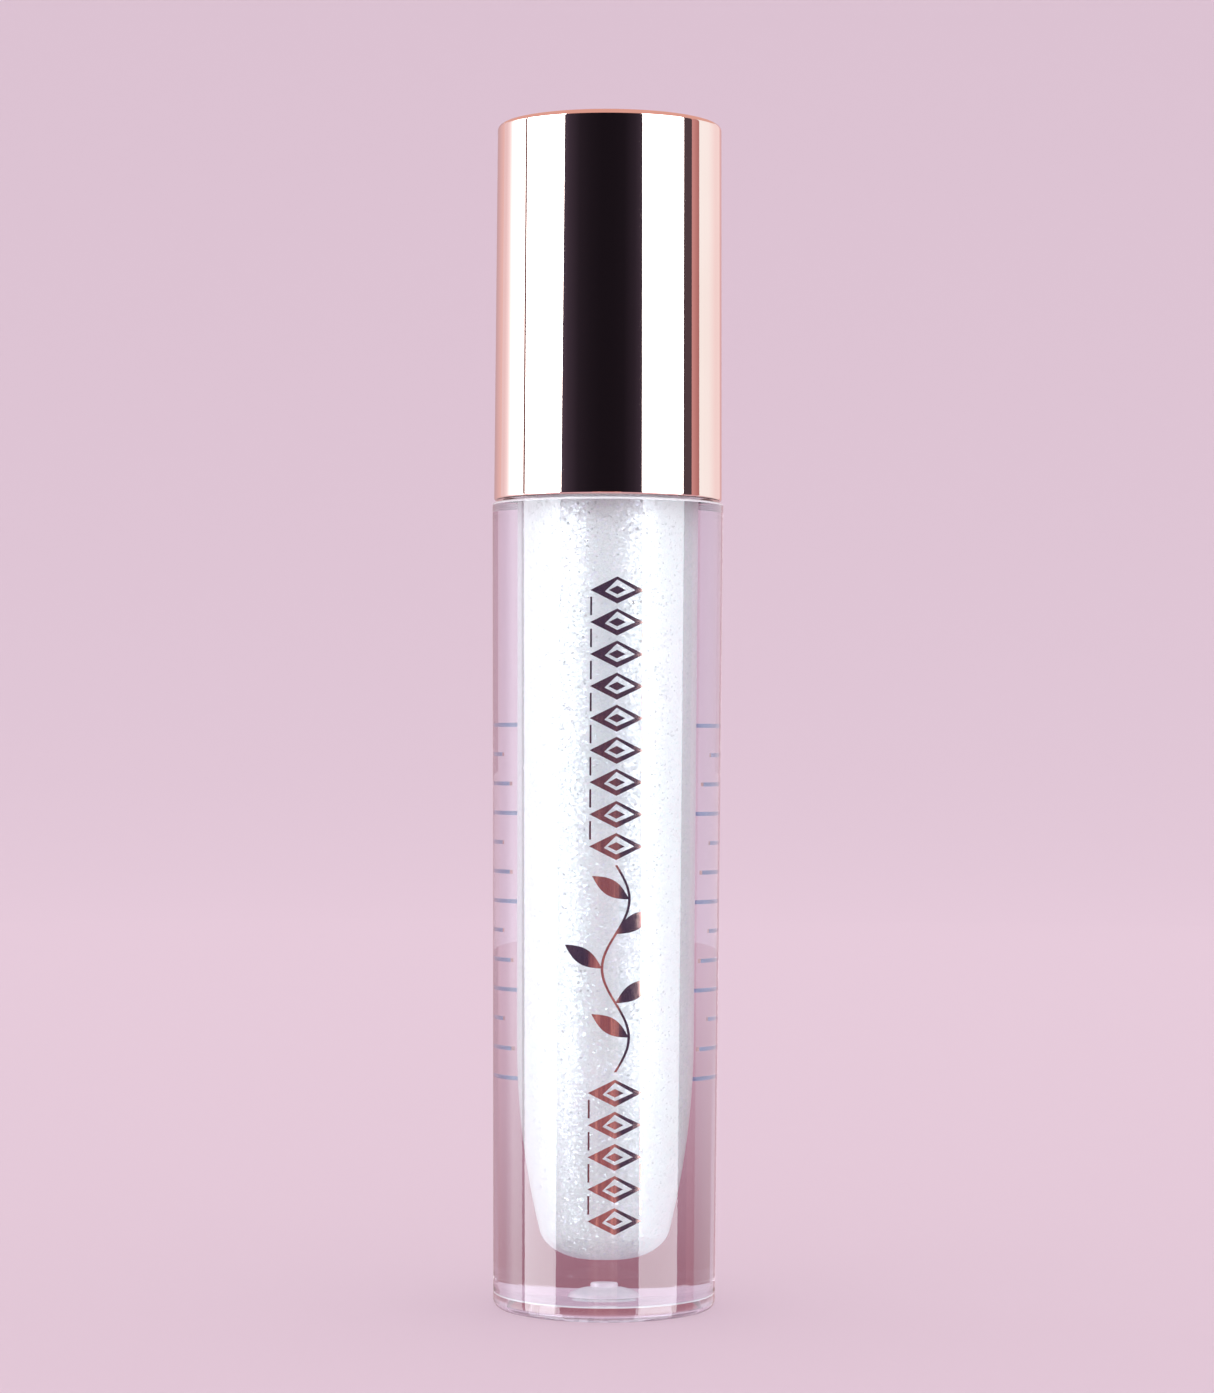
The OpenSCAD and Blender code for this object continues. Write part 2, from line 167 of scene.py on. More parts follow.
class Paint:
    """A new material and short calls that add nodes to it."""

    def __init__(self, name):
        self.material = bpy.data.materials.new(name)
        self.material.use_nodes = True
        self.tree = self.material.node_tree
        self.tree.nodes.clear()
        self.output = self.tree.nodes.new("ShaderNodeOutputMaterial")

    def node(self, kind, settings=None, **inputs):
        """A node with its settings, and its inputs set to values or linked to sockets."""
        made = self.tree.nodes.new("ShaderNode" + kind)
        for key, value in (settings or {}).items():
            setattr(made, key, value)
        for key, value in inputs.items():
            self.put(made, key.replace("_", " "), value)
        return made

    def put(self, node, key, value):
        """Sets or links one input, named, or numbered as in in3."""
        numbered = key[:2] == "in" and key[2:].isdigit()
        socket = node.inputs[int(key[2:])] if numbered else node.inputs[key]
        if isinstance(value, bpy.types.NodeSocket):
            self.tree.links.new(value, socket)
        elif isinstance(value, tuple) and socket.type == "RGBA" and len(value) == 3:
            socket.default_value = (*value, 1)
        else:
            socket.default_value = value

    def place(self, stretch=(1, 1, 1)):
        """Object coordinates in metres, stretched along each axis."""
        coords = self.node("TexCoord").outputs["Object"]
        return self.node("Mapping", Vector=coords, Scale=stretch).outputs[0]

    def noise(self, scale, detail, stretch=(1, 1, 1)):
        """Noise texture's height, at a scale per metre."""
        made = self.node("TexNoise", Vector=self.place(stretch), Scale=scale, Detail=detail)
        return made.outputs[0]

    def ramp(self, value, *stops):
        """Colour ramp through stops of (place, colour)."""
        made = self.node("ValToRGB", in0=value)
        elements = made.color_ramp.elements
        while len(elements) < len(stops):
            elements.new(0.5)
        for element, (place, colour) in zip(elements, stops):
            element.position = place
            element.color = (*colour, 1)
        return made.outputs[0]

    def between(self, value, low, high, start=0.0, end=1.0):
        """Value mapped from start..end to low..high."""
        made = self.node("MapRange", in0=value, in1=start, in2=end, in3=low, in4=high)
        return made.outputs[0]

    def bump(self, height, strength, distance):
        """Normal bent by a height, with its distance in millimetres."""
        made = self.node("Bump", Height=height, Strength=strength, Distance=distance * MM)
        return made.outputs[0]

    def surface(self, shader, volume=None):
        """Connects the shaders and returns the material."""
        self.tree.links.new(shader.outputs[0], self.output.inputs["Surface"])
        if volume:
            self.tree.links.new(volume.outputs[0], self.output.inputs["Volume"])
        return self.material

    def clear_to_shadows(self, shader):
        """Lets light through to what is inside a clear piece."""
        path = self.node("LightPath")
        straight = self.node("Math", {"operation": "MAXIMUM"}, in0=path.outputs[1], in1=path.outputs[2])
        lets = self.node("BsdfTransparent")
        return self.node("MixShader", in0=straight.outputs[0], in1=shader.outputs[0], in2=lets.outputs[0])


# --- materials --------------------------------------------------------------------------


def clear_wall_material():
    """Thick clear copolyester: polished, with faint flow lines from the moulding."""
    p = Paint("clear_wall")
    flow = p.noise(260, 2, (1, 1, 0.12))
    glass = p.node(
        "BsdfPrincipled",
        Base_Color=(0.97, 0.94, 1.0),
        Roughness=0.01,
        IOR=1.57,
        Transmission_Weight=0.965,
        Normal=p.bump(flow, 0.12, 0.02),
    )
    # Lilac absorption: the plastic's own tint, made deep enough that it also paints the shade that
    # darkens the thick foot.
    tint_and_shade = p.node("VolumeAbsorption", Color=(0.4, 0.2, 0.34), Density=18.0)
    return p.surface(p.clear_to_shadows(glass), tint_and_shade)


def painted_highlight_material():
    """Pale, half-clear skin that paints highlights: a bright gate's dimple, and bright lines in the
    recess's corner and along the shoulder's edge.
    """
    p = Paint("painted_highlight_skin")
    highlight_mottle = p.noise(3000, 3)
    highlight_skin = p.node(
        "BsdfPrincipled",
        Base_Color=p.ramp(highlight_mottle, (0.3, (0.9, 0.86, 0.92)), (0.7, (1.0, 0.98, 1.0))),
        Roughness=0.25,
        IOR=1.57,
        Transmission_Weight=0.25,
    )
    return p.surface(highlight_skin)


def pearl_material():
    """Wet pearl: a milky body, and flakes of two sizes that each face their own way."""
    p = Paint("pearl_gloss")
    clouds = p.noise(240, 3, (1, 1, 0.45))
    large = p.node("TexVoronoi", Vector=p.place(), Scale=6200.0).outputs["Color"]
    small = p.node("TexVoronoi", Vector=p.place(), Scale=13000.0).outputs["Color"]
    split = p.node("SeparateColor", in0=large)
    shade = p.node("SeparateColor", in0=small).outputs[0]
    speck = p.ramp(shade, (0.1, (0.86, 0.86, 0.86)), (0.8, (1, 1, 1)))
    milk = p.ramp(clouds, (0.3, (0.82, 0.97, 0.88)), (0.7, (0.9, 1.0, 0.95)))
    multiply = {"data_type": "RGBA", "blend_type": "MULTIPLY"}
    specked = p.node("Mix", multiply, in0=1.0, in6=milk, in7=speck)
    body = p.node(
        "BsdfPrincipled",
        Base_Color=specked.outputs[2],
        Roughness=0.3,
        IOR=1.48,
        Coat_Weight=0.5,
        Coat_Roughness=0.18,
        Coat_IOR=1.4,
    )
    both = p.node("Mix", {"data_type": "RGBA"}, in0=0.4, in6=large, in7=small).outputs[2]
    tilt = p.node("VectorMath", {"operation": "SUBTRACT"}, in0=both, in1=(0.5, 0.5, 0.5))
    lean = p.between(split.outputs[2], 0.3, 1.5, 0.68, 1.0)
    scaled = p.node("VectorMath", {"operation": "SCALE"}, in0=tilt.outputs[0], Scale=lean)
    facing = p.node("NewGeometry").outputs["Normal"]
    leaned = p.node("VectorMath", {"operation": "ADD"}, in0=scaled.outputs[0], in1=facing)
    normal = p.node("VectorMath", {"operation": "NORMALIZE"}, in0=leaned.outputs[0])
    flake_colour = p.ramp(
        split.outputs[0],
        (0.0, (0.72, 0.84, 0.84)),
        (0.45, (0.82, 0.96, 0.92)),
        (0.75, (0.95, 0.98, 0.96)),
        (1.0, (0.78, 0.88, 0.97)),
    )
    flake = p.node(
        "BsdfPrincipled", Base_Color=flake_colour, Metallic=1.0, Roughness=0.4, Normal=normal.outputs[0]
    )
    cover = p.between(split.outputs[1], 0.1, 0.62, 0.2, 0.95)
    mixed = p.node("MixShader", in0=cover, in1=body.outputs[0], in2=flake.outputs[0])
    return p.surface(mixed)


def rose_metal_material():
    """Vacuum-metallised rose mirror under lacquer, with faint hairlines and smudges."""
    p = Paint("rose_metal")
    smudge = p.noise(90, 4, (1, 1, 0.6))
    hairline = p.noise(900, 2, (1, 1, 0.03))
    metal = p.node(
        "BsdfPrincipled",
        Base_Color=p.ramp(smudge, (0.35, (0.93, 0.7, 0.63)), (0.65, (0.96, 0.74, 0.67))),
        Metallic=1.0,
        Roughness=p.between(smudge, 0.02, 0.045),
        Normal=p.bump(hairline, 0.05, 0.004),
    )
    return p.surface(metal)


def foil_material():
    """Hot-stamped foil: rose mirror under violet lacquer, with upright grain and worn pinholes."""
    p = Paint("foil_print")
    grain = p.noise(5200, 3, (1, 1, 0.04))
    wear = p.noise(3800, 2)
    metal = p.node(
        "BsdfPrincipled",
        Base_Color=p.ramp(grain, (0.35, (0.5, 0.27, 0.24)), (0.7, (0.8, 0.52, 0.44))),
        Metallic=1.0,
        Roughness=p.between(wear, 0.08, 0.2),
        Normal=p.bump(grain, 0.2, 0.01),
    )
    lacquer = p.node("BsdfPrincipled", Base_Color=(0.3, 0.2, 0.42), Roughness=0.3)
    return p.surface(p.node("MixShader", in0=0.13, in1=metal.outputs[0], in2=lacquer.outputs[0]))


def primer_material():
    """Underside of the foil, seen from inside the clear wall."""
    p = Paint("foil_primer")
    mottle = p.noise(2400, 3)
    primer = p.node(
        "BsdfPrincipled",
        Base_Color=p.ramp(mottle, (0.3, (0.11, 0.18, 0.38)), (0.7, (0.2, 0.3, 0.54))),
        Roughness=0.5,
    )
    return p.surface(primer)


def label_material():
    """Clear film with rows of faint dark dashes."""
    p = Paint("label_film")
    dashes = p.node(
        "TexBrick",
        {"offset": 0.37, "squash": 0.7},
        Vector=p.place(),
        Scale=1.0,
        Color1=(1, 1, 1),
        Color2=(0.7, 0.7, 0.7),
        Mortar=(0, 0, 0),
        Mortar_Size=0.4 * MM,
        Brick_Width=1.7 * MM,
        Row_Height=1.1 * MM,
    )
    ink = p.ramp(dashes.outputs[0], (0.3, (0, 0, 0)), (0.4, (0.55, 0.55, 0.55)))
    film = p.node(
        "BsdfPrincipled",
        Base_Color=(0.98, 0.95, 0.97),
        Roughness=0.08,
        IOR=1.45,
        Transmission_Weight=1.0,
    )
    print_ink = p.node("BsdfPrincipled", Base_Color=(0.05, 0.04, 0.06), Roughness=0.5)
    mixed = p.node("MixShader", in0=ink, in1=film.outputs[0], in2=print_ink.outputs[0])
    return p.surface(p.clear_to_shadows(mixed))


def moulded_material(name, colour, darker, roughness, scale, subsurface):
    """Moulded plastic: slight clouding, a fine skin and some light let in."""
    p = Paint(name)
    cloud = p.noise(scale, 3)
    skin = p.noise(scale * 14, 2)
    plastic = p.node(
        "BsdfPrincipled",
        Base_Color=p.ramp(cloud, (0.3, darker), (0.7, colour)),
        Roughness=p.between(skin, roughness - 0.06, roughness + 0.06),
        Normal=p.bump(skin, 0.12, 0.02),
        Subsurface_Weight=subsurface,
        Subsurface_Radius=(1.0, 0.9, 0.85),
        Subsurface_Scale=1.2 * MM,
    )
    return p.surface(plastic)


def foam_material():
    """Closed-cell sealing foam."""
    p = Paint("gasket_foam")
    cells = p.node("TexVoronoi", Vector=p.place(), Scale=3600.0).outputs[0]
    foam = p.node(
        "BsdfPrincipled",
        Base_Color=p.ramp(cells, (0.1, (0.84, 0.83, 0.79)), (0.6, (0.93, 0.92, 0.89))),
        Roughness=0.8,
        Normal=p.bump(cells, 0.5, 0.06),
    )
    return p.surface(foam)


def steel_material():
    """Turned steel, zinc plated, with rings from the lathe tool."""
    p = Paint("plated_steel")
    rings = p.noise(2600, 2, (0.05, 0.05, 1))
    bloom = p.noise(420, 4)
    steel = p.node(
        "BsdfPrincipled",
        Base_Color=p.ramp(bloom, (0.3, (0.56, 0.57, 0.6)), (0.7, (0.74, 0.75, 0.77))),
        Metallic=1.0,
        Roughness=p.between(bloom, 0.22, 0.4),
        Normal=p.bump(rings, 0.35, 0.02),
    )
    return p.surface(steel)


def flock_material():
    """Short nylon pile, wetted here and there by the filling."""
    p = Paint("flock")
    wet = p.noise(620, 3)
    pile = p.node(
        "BsdfPrincipled",
        Base_Color=p.ramp(wet, (0.35, (0.8, 0.78, 0.81)), (0.65, (0.95, 0.93, 0.94))),
        Roughness=p.between(wet, 0.45, 0.8),
        Sheen_Weight=0.5,
        Sheen_Roughness=0.4,
    )
    return p.surface(pile)


def paper_material():
    """Matt paper of the floor and the backdrop."""
    p = Paint("backdrop_paper")
    grain = p.noise(900, 2)
    paper = p.node(
        "BsdfPrincipled",
        Base_Color=BACKDROP,
        Roughness=0.9,
        Specular_IOR_Level=0.1,
        Normal=p.bump(grain, 0.02, 0.05),
    )
    return p.surface(paper)


def glow(name, strength, one_sided=True):
    """Light of a studio panel, coloured by its corners. The back of a one-sided panel isn't there."""
    p = Paint(name)
    colour = p.node("VertexColor", {"layer_name": "glow"}).outputs[0]
    light = p.node("Emission", Color=colour, Strength=strength)
    if not one_sided:
        return p.surface(light)
    behind = p.node("NewGeometry").outputs["Backfacing"]
    lets = p.node("BsdfTransparent")
    return p.surface(p.node("MixShader", in0=behind, in1=light.outputs[0], in2=lets.outputs[0]))


# --- the bottle -------------------------------------------------------------------------

body_low, body_high = box("tube_body")
shell_low, shell_high = box("cap_shell")
fill_low, fill_high = box("gloss_fill")

# Clear body
CAP_GAP = 0.2
FOOT_EDGE = 0.7
SHOULDER_EDGE = 0.2
NECK_R = 5.9
NECK_BORE_R = 5.0
NECK_FILLET = 0.4
BEAD_R = 0.45
foot_z = body_low.z
neck_top = body_high.z
shoulder_z = shell_low.z - CAP_GAP
foot_r = reach("tube_body", foot_z + FOOT_EDGE - 0.05, foot_z + FOOT_EDGE + 0.05)[1]
shoulder_r = reach("tube_body", shoulder_z - SHOULDER_EDGE - 0.05, shoulder_z - SHOULDER_EDGE + 0.05)[1]
bead_z = shoulder_z + 2.2

# Recess under the foot, with the gate's dimple
label_low, label_high = box("base_label")
recess_z = label_high.z + 0.005
recess_r = label_high.x + 0.3
RECESS_FILLET = 0.12
DIMPLE_R = 1.93
DIMPLE_H = 1.0
DIMPLE_START = 62
DIMPLE_END = 2
NUB_R = 0.73
NUB_H = 0.4
nub_top = recess_z + DIMPLE_H * math.sin(math.radians(DIMPLE_START)) + NUB_H

# Chamber: drafted wall, long taper and round corner, each tangent to the next
FILL_GAP = 0.03
chamber_floor = fill_low.z - FILL_GAP
CHAMBER_TOP_R = 4.8
CHAMBER_LOW_R = 4.68
TAPER_TOP = 22.5
TAPER_R = 100
CORNER_R = 2.6
taper_centre = CHAMBER_LOW_R - TAPER_R
corner_z = chamber_floor + CORNER_R
taper_angle = math.degrees(math.asin((corner_z - TAPER_TOP) / (TAPER_R - CORNER_R)))
corner_centre = taper_centre + (TAPER_R - CORNER_R) * math.cos(math.radians(taper_angle))

# Thread on the neck, and the one in the cap that meets it
PITCH = 2.0
THREAD_TURNS = 1.35
THREAD_DEPTH = 0.6
CREST_HALF = 0.25
ROOT_HALF = 0.55
FADE_TURN = 40 / 360
neck_thread_z = neck_top - 4.5
CAP_THREAD_DROP = 0.82


def wall_r(z):
    """Radius of the body's drafted wall at a height."""
    share = (z - foot_z - FOOT_EDGE) / (shoulder_z - SHOULDER_EDGE - foot_z - FOOT_EDGE)
    return foot_r + (shoulder_r - foot_r) * share


def thread_height(angle, z, start_z):
    """How far a thread ridge stands out at an angle and a height."""
    best = 0.0
    for whole in (0, 1):
        turn = angle / (2 * math.pi) + whole
        if turn > THREAD_TURNS:
            continue
        off = abs(z - start_z - PITCH * turn)
        fade = min(1, turn / FADE_TURN, (THREAD_TURNS - turn) / FADE_TURN)
        flank = (ROOT_HALF - off) / (ROOT_HALF - CREST_HALF)
        best = max(best, THREAD_DEPTH * fade * min(1, max(0, flank)))
    return best


def chamber_outline(grow, top_z):
    """Outline of the chamber from the axis up, grown into the wall."""
    floor = [(0, chamber_floor - grow), (corner_centre * 0.6, chamber_floor - grow)]
    corner = arc(corner_centre, corner_z, CORNER_R + grow, -90, taper_angle, 16)
    taper = arc(taper_centre, TAPER_TOP, TAPER_R + grow, taper_angle, 0, 24)
    return floor + corner + taper[1:] + [(CHAMBER_TOP_R + grow, top_z)]


def under_outline():
    """Outline under the foot: gate nub, domed dimple, recess and its rim."""
    dome_top = nub_top - NUB_H
    nub = rounded([
        (0, nub_top, 0),
        (NUB_R, nub_top, 0.16),
        (NUB_R, dome_top, 0.05),
        (DIMPLE_R / 2, dome_top, 0),
    ])
    steps = 12
    sweep = DIMPLE_START - DIMPLE_END
    angles = [math.radians(DIMPLE_START - sweep * i / steps) for i in range(steps + 1)]
    dome = [(DIMPLE_R * math.cos(a), recess_z + DIMPLE_H * math.sin(a)) for a in angles]
    recess = rounded([
        (DIMPLE_R + 0.05, recess_z, 0),
        (recess_r, recess_z, RECESS_FILLET),
        (recess_r, foot_z, RECESS_FILLET),
        (foot_r - FOOT_EDGE, foot_z, 0),
    ])
    return nub[:-1] + dome + recess


def side_outline():
    """Outline up the side, over the shoulder's edge and in to the neck."""
    foot_edge = arc(foot_r - FOOT_EDGE, foot_z + FOOT_EDGE, FOOT_EDGE, -90, 0, 12)
    heights = (foot_z + 1.0, foot_z + 20, foot_z + 45, shoulder_z - 0.6)
    side = [(wall_r(z), z) for z in heights]
    edge_r = shoulder_r - SHOULDER_EDGE
    shoulder = arc(edge_r, shoulder_z - SHOULDER_EDGE, SHOULDER_EDGE, 0, 90, 10)
    ledge = [(edge_r - 0.1, shoulder_z), (NECK_R + 0.5, shoulder_z)]
    return foot_edge + side + shoulder + ledge


def neck_outline():
    """Outline up the neck with its bead, over the rim and down the bore."""
    fillet = arc(NECK_R + NECK_FILLET, shoulder_z + NECK_FILLET, NECK_FILLET, 270, 180, 6)
    bead = arc(NECK_R, bead_z, BEAD_R, -90, 90, 12)
    neck = upright(NECK_R, bead_z + 0.55, neck_top - 0.4, 0.1)
    rim = rounded([
        (NECK_R, neck_top - 0.35, 0),
        (NECK_R, neck_top, 0.2),
        (NECK_BORE_R, neck_top, 0.15),
        (NECK_BORE_R, shoulder_z + 1.0, 0.2),
        (CHAMBER_TOP_R, shoulder_z + 0.5, 0.2),
        (CHAMBER_TOP_R, shoulder_z - 0.4, 0),
    ])
    return fillet + bead + neck + rim


def gets_painted_highlight(centre):
    """Whether a face gets the painted highlight: in the dimple, in the recess's corner or on the
    shoulder's edge.
    """
    from_axis = math.hypot(centre.x, centre.y)
    in_dimple = recess_z - 0.05 < centre.z < nub_top + 0.05 and from_axis < DIMPLE_R
    by_corner = abs(recess_r - 0.05 - from_axis) < RECESS_FILLET / 2
    in_corner = recess_z - RECESS_FILLET < centre.z < recess_z + 0.01 and by_corner
    by_edge = from_axis > shoulder_r - SHOULDER_EDGE
    on_shoulder = abs(centre.z - shoulder_z + SHOULDER_EDGE / 2) < 0.11 and by_edge
    return in_dimple or in_corner or on_shoulder


def clear_body():
    """Clear bottle from the dimple under the foot, up the outside and down the chamber."""
    inside = chamber_outline(0, shoulder_z - 0.5)[::-1]
    outline = under_outline() + side_outline() + neck_outline() + inside

    def thread(angle, r, z):
        outer = abs(r - NECK_R) < 0.01 and z > bead_z + 0.5
        return thread_height(angle, z, neck_thread_z) if outer else 0

    bm = lathe(outline, shift=thread)
    # The dimple, the recess's corner and the shoulder's edge take the pale skin that paints highlights.
    for face in bm.faces:
        if gets_painted_highlight(face.calc_center_median() / MM):
            face.material_index = 1
    body = add_piece("clear_body", bm, clear_wall_material(), "tube", "clear_wall", "tube_body", sharp=50)
    body.data.materials.append(painted_highlight_material())


def gloss():
    """Pearl filling. It reaches just into the wall, so that no film of air shows between."""
    bite = 0.02
    well_r = 2.2
    well_z = box("flocking")[0].z - 0.8
    level = fill_high.z - 0.2
    meniscus = 0.12
    outside = chamber_outline(bite, shoulder_z + 0.35)
    top = rounded([
        (CHAMBER_TOP_R - 0.05, level, 0),
        (CHAMBER_TOP_R - 0.05, level + meniscus, 0.05),
        (well_r, level, 0.1),
        (well_r, well_z, 0.8),
        (0, well_z, 0),
    ])
    bm = lathe(outside + top)
    add_piece("gloss", bm, pearl_material(), "tube", "pearl_gloss", "gloss_fill", sharp=50)


# --- prints -----------------------------------------------------------------------------

# Foil is cut into narrow upright strips, so that it follows the round wall
CUT = 0.22
PRINT_GAP = 0.005
FOIL_T = 0.055

# Front ornament, with the heights of its lower column, sprig and upper column
ORNAMENT_X = 0.8
LOW_COLUMN_Z = 8.3
LOW_COLUMN_COUNT = 5
SPRIG_LOW = 20.4
SPRIG_HIGH = 37.2
HIGH_COLUMN_Z = 38.7
HIGH_COLUMN_COUNT = 9
LOZENGE_W = 4.4
LOZENGE_H = 2.2
LOZENGE_STEP = 2.6
LINK_W = 0.16

# Ladder on the back
LADDER_Z = 18.6
LADDER_ROWS = 13
LADDER_STEP = 2.5


def wall_print(name, shapes, side, node, material, primer):
    """Foil cut to flat shapes (outline, holes) in X and Z, laid on the front or back wall."""
    bm = bmesh.new()
    for loops in shapes:
        edges = []
        for loop in loops:
            verts = [bm.verts.new((x, 0, z)) for x, z in loop]
            edges += [bm.edges.new((a, b)) for a, b in zip(verts, verts[1:] + verts[:1])]
        bmesh.ops.triangle_fill(bm, use_beauty=True, edges=edges)
    widest = max(abs(v.co.x) for v in bm.verts)
    for i in range(-int(widest / CUT), int(widest / CUT) + 1):
        everything = bm.verts[:] + bm.edges[:] + bm.faces[:]
        bmesh.ops.bisect_plane(bm, geom=everything, plane_co=(i * CUT, 0, 0), plane_no=(1, 0, 0))
    flat = bm.faces[:]
    for face in flat:
        face.material_index = 1
    rims = [e for e in bm.edges if len(e.link_faces) == 1]
    raised = {v: bm.verts.new(v.co) for v in bm.verts[:]}
    for face in flat:
        bm.faces.new([raised[v] for v in reversed(face.verts)]).material_index = 0
    for a, b in [e.verts for e in rims]:
        bm.faces.new((a, b, raised[b], raised[a]))
    tops = set(raised.values())
    for v in bm.verts:
        r = wall_r(v.co.z) + PRINT_GAP + (FOIL_T if v in tops else 0)
        x, z = v.co.x, v.co.z
        v.co = Vector((x, side * math.sqrt(r * r - x * x), z)) * MM
    bmesh.ops.recalc_face_normals(bm, faces=bm.faces)
    obj = add_piece(name, bm, material, "tube", "foil_print", node, sharp=30)
    obj.data.materials.append(primer)


def diamond(x, z, width, height):
    """Diamond about a point."""
    return [(x - width / 2, z), (x, z - height / 2), (x + width / 2, z), (x, z + height / 2)]


def bar(x, z, width, height):
    """Upright rectangle about a point."""
    w, h = width / 2, height / 2
    return [(x - w, z - h), (x + w, z - h), (x + w, z + h), (x - w, z + h)]


def lozenge(x, z):
    """Lozenge frame with thick and thin sides, and the small diamond in it."""
    w, h = LOZENGE_W / 2, LOZENGE_H / 2
    hole = [(x - w + 1.2, z - 0.12), (x, z - h + 0.46), (x + w - 0.74, z), (x, z + h - 0.25)]
    return [(diamond(x, z, LOZENGE_W, LOZENGE_H), hole), (diamond(x, z, 1.4, 0.7),)]


def lozenge_column(first_z, count):
    """Lozenges above one another, joined by thin links at both sides."""
    shapes = []
    for i in range(count):
        z = first_z + i * LOZENGE_STEP
        shapes += lozenge(ORNAMENT_X, z)
        if i < count - 1:
            for side in (-1, 1):
                x = ORNAMENT_X + side * (LOZENGE_W - LINK_W) / 2
                shapes.append((bar(x, z + LOZENGE_STEP / 2, LINK_W, 1.5),))
    return shapes


def sprig(low, high):
    """Twining stem with slender leaves on alternate sides."""
    def stem_x(z):
        return ORNAMENT_X + 1.1 * math.sin(3 * math.pi * (z - low) / (high - low))

    steps, half_stem = 48, 0.11
    heights = [low + (high - low) * i / steps for i in range(steps + 1)]
    left = [(stem_x(z) - half_stem, z) for z in heights]
    right = [(stem_x(z) + half_stem, z) for z in reversed(heights)]
    shapes = [(left + right,)]
    leaves = 5
    for i in range(1, leaves + 1):
        z = low + (high - low) * i / (leaves + 1)
        side = 1 if i % 2 == 0 else -1
        shapes.append((leaf(stem_x(z), z, math.radians(90 - side * 58)),))
    return shapes


def leaf(x, z, lean):
    """Pointed leaf from a point, along a direction."""
    steps, length, width = 14, 3.6, 1.3
    bow = [width / 2 * math.sin(math.pi * i / steps) for i in range(steps + 1)]
    along = [length * i / steps for i in range(steps + 1)]
    loop = list(zip(along, bow)) + [(along[i], -bow[i]) for i in range(steps - 1, 0, -1)]
    c, s = math.cos(lean), math.sin(lean)
    return [(x + a * c - b * s, z + a * s + b * c) for a, b in loop]


def prints():
    """Front ornament and the ladder of bars on the back."""
    material, primer = foil_material(), primer_material()
    shapes = lozenge_column(LOW_COLUMN_Z, LOW_COLUMN_COUNT)
    shapes += sprig(SPRIG_LOW, SPRIG_HIGH)
    shapes += lozenge_column(HIGH_COLUMN_Z, HIGH_COLUMN_COUNT)
    wall_print("front_ornament", shapes, -1, "front_foil", material, primer)
    widest, thick = 3.6, 0.34
    rows = []
    for i in range(LADDER_ROWS):
        width = widest - (i % 3) * 0.7
        rows.append((bar(0, LADDER_Z + i * LADDER_STEP, width, thick),))
    wall_print("back_ladder", rows, 1, "back_foil", material, primer)


def label():
    """Thin film in the recess under the foot."""
    r = label_high.x
    corners = [(0, label_low.z, 0), (r, label_low.z, 0.02), (r, label_high.z, 0.02), (0, label_high.z, 0)]
    bm = lathe(rounded(corners, steps=3))
    add_piece("foot_label", bm, label_material(), "tube", "label_film", "base_label", sharp=50)


# --- closure ----------------------------------------------------------------------------


def neck_wiper():
    """Soft insert: flange, sleeve, and a cone that ends in the wiping lip."""
    low, high = box("wiper")
    lip_r = reach("wiper", low.z - 0.1, low.z + 0.1)[0]
    sleeve_r = NECK_BORE_R - 0.03
    bore_r = sleeve_r - 0.75
    cone_top = low.z + 2.6
    outline = rounded([
        (lip_r, low.z, 0.05),
        (lip_r + 0.3, low.z, 0.1),
        (sleeve_r - 0.35, cone_top - 0.3, 0.3),
        (sleeve_r, cone_top + 0.4, 0.3),
        (sleeve_r, high.z - 0.8, 0.1),
        (high.x, high.z - 0.8, 0.08),
        (high.x, high.z, 0.15),
        (bore_r, high.z, 0.3),
        (bore_r, cone_top + 0.4, 0.4),
        (lip_r, low.z + 0.45, 0.15),
    ], closed=True)
    material = moulded_material("wiper_plastic", (0.93, 0.93, 0.93), (0.88, 0.88, 0.89), 0.35, 500, 0.5)
    bm = lathe(outline, 160, closed=True)
    add_piece("neck_wiper", bm, material, "tube", "wiper_plastic", "wiper", sharp=50)


def seal_ring():
    """Foam ring, a little crowned where it bulges."""
    low, high = box("gasket")
    bore_r = reach("gasket", low.z, high.z)[0]
    outline = rounded([
        (bore_r, low.z, 0.2),
        (high.x, low.z, 0.25),
        (high.x, high.z, 0.25),
        (bore_r, high.z, 0.2),
    ], closed=True)
    bm = lathe(outline, 128, closed=True)
    add_piece("seal_ring", bm, foam_material(), "seal", "gasket_foam", "gasket")


def outer_cap():
    """Mirror-bright cap: slight taper, rounded mouth and top edges."""
    mouth_r = reach("cap_shell", shell_low.z, shell_low.z + 1)[1]
    top_r = reach("cap_shell", shell_high.z - 1, shell_high.z)[1]
    bore_r, roof_r = 8.5, 8.36
    roof_z = shell_high.z - 1.4
    outline = rounded([
        (bore_r, shell_low.z, 0.18),
        (mouth_r, shell_low.z, 0.2),
        (top_r, shell_high.z, 0.4),
        (0, shell_high.z, 0),
    ], steps=10)
    inside = rounded([
        (0, roof_z, 0),
        (roof_r, roof_z, 0.8),
        (bore_r, shell_low.z, 0.18),
    ], steps=8)[:-1]
    bm = lathe(inside + [(bore_r, shell_low.z + 0.4)] + outline[1:], 320)
    add_piece("outer_cap", bm, rose_metal_material(), "cap", "rose_metal", "cap_shell", sharp=50)


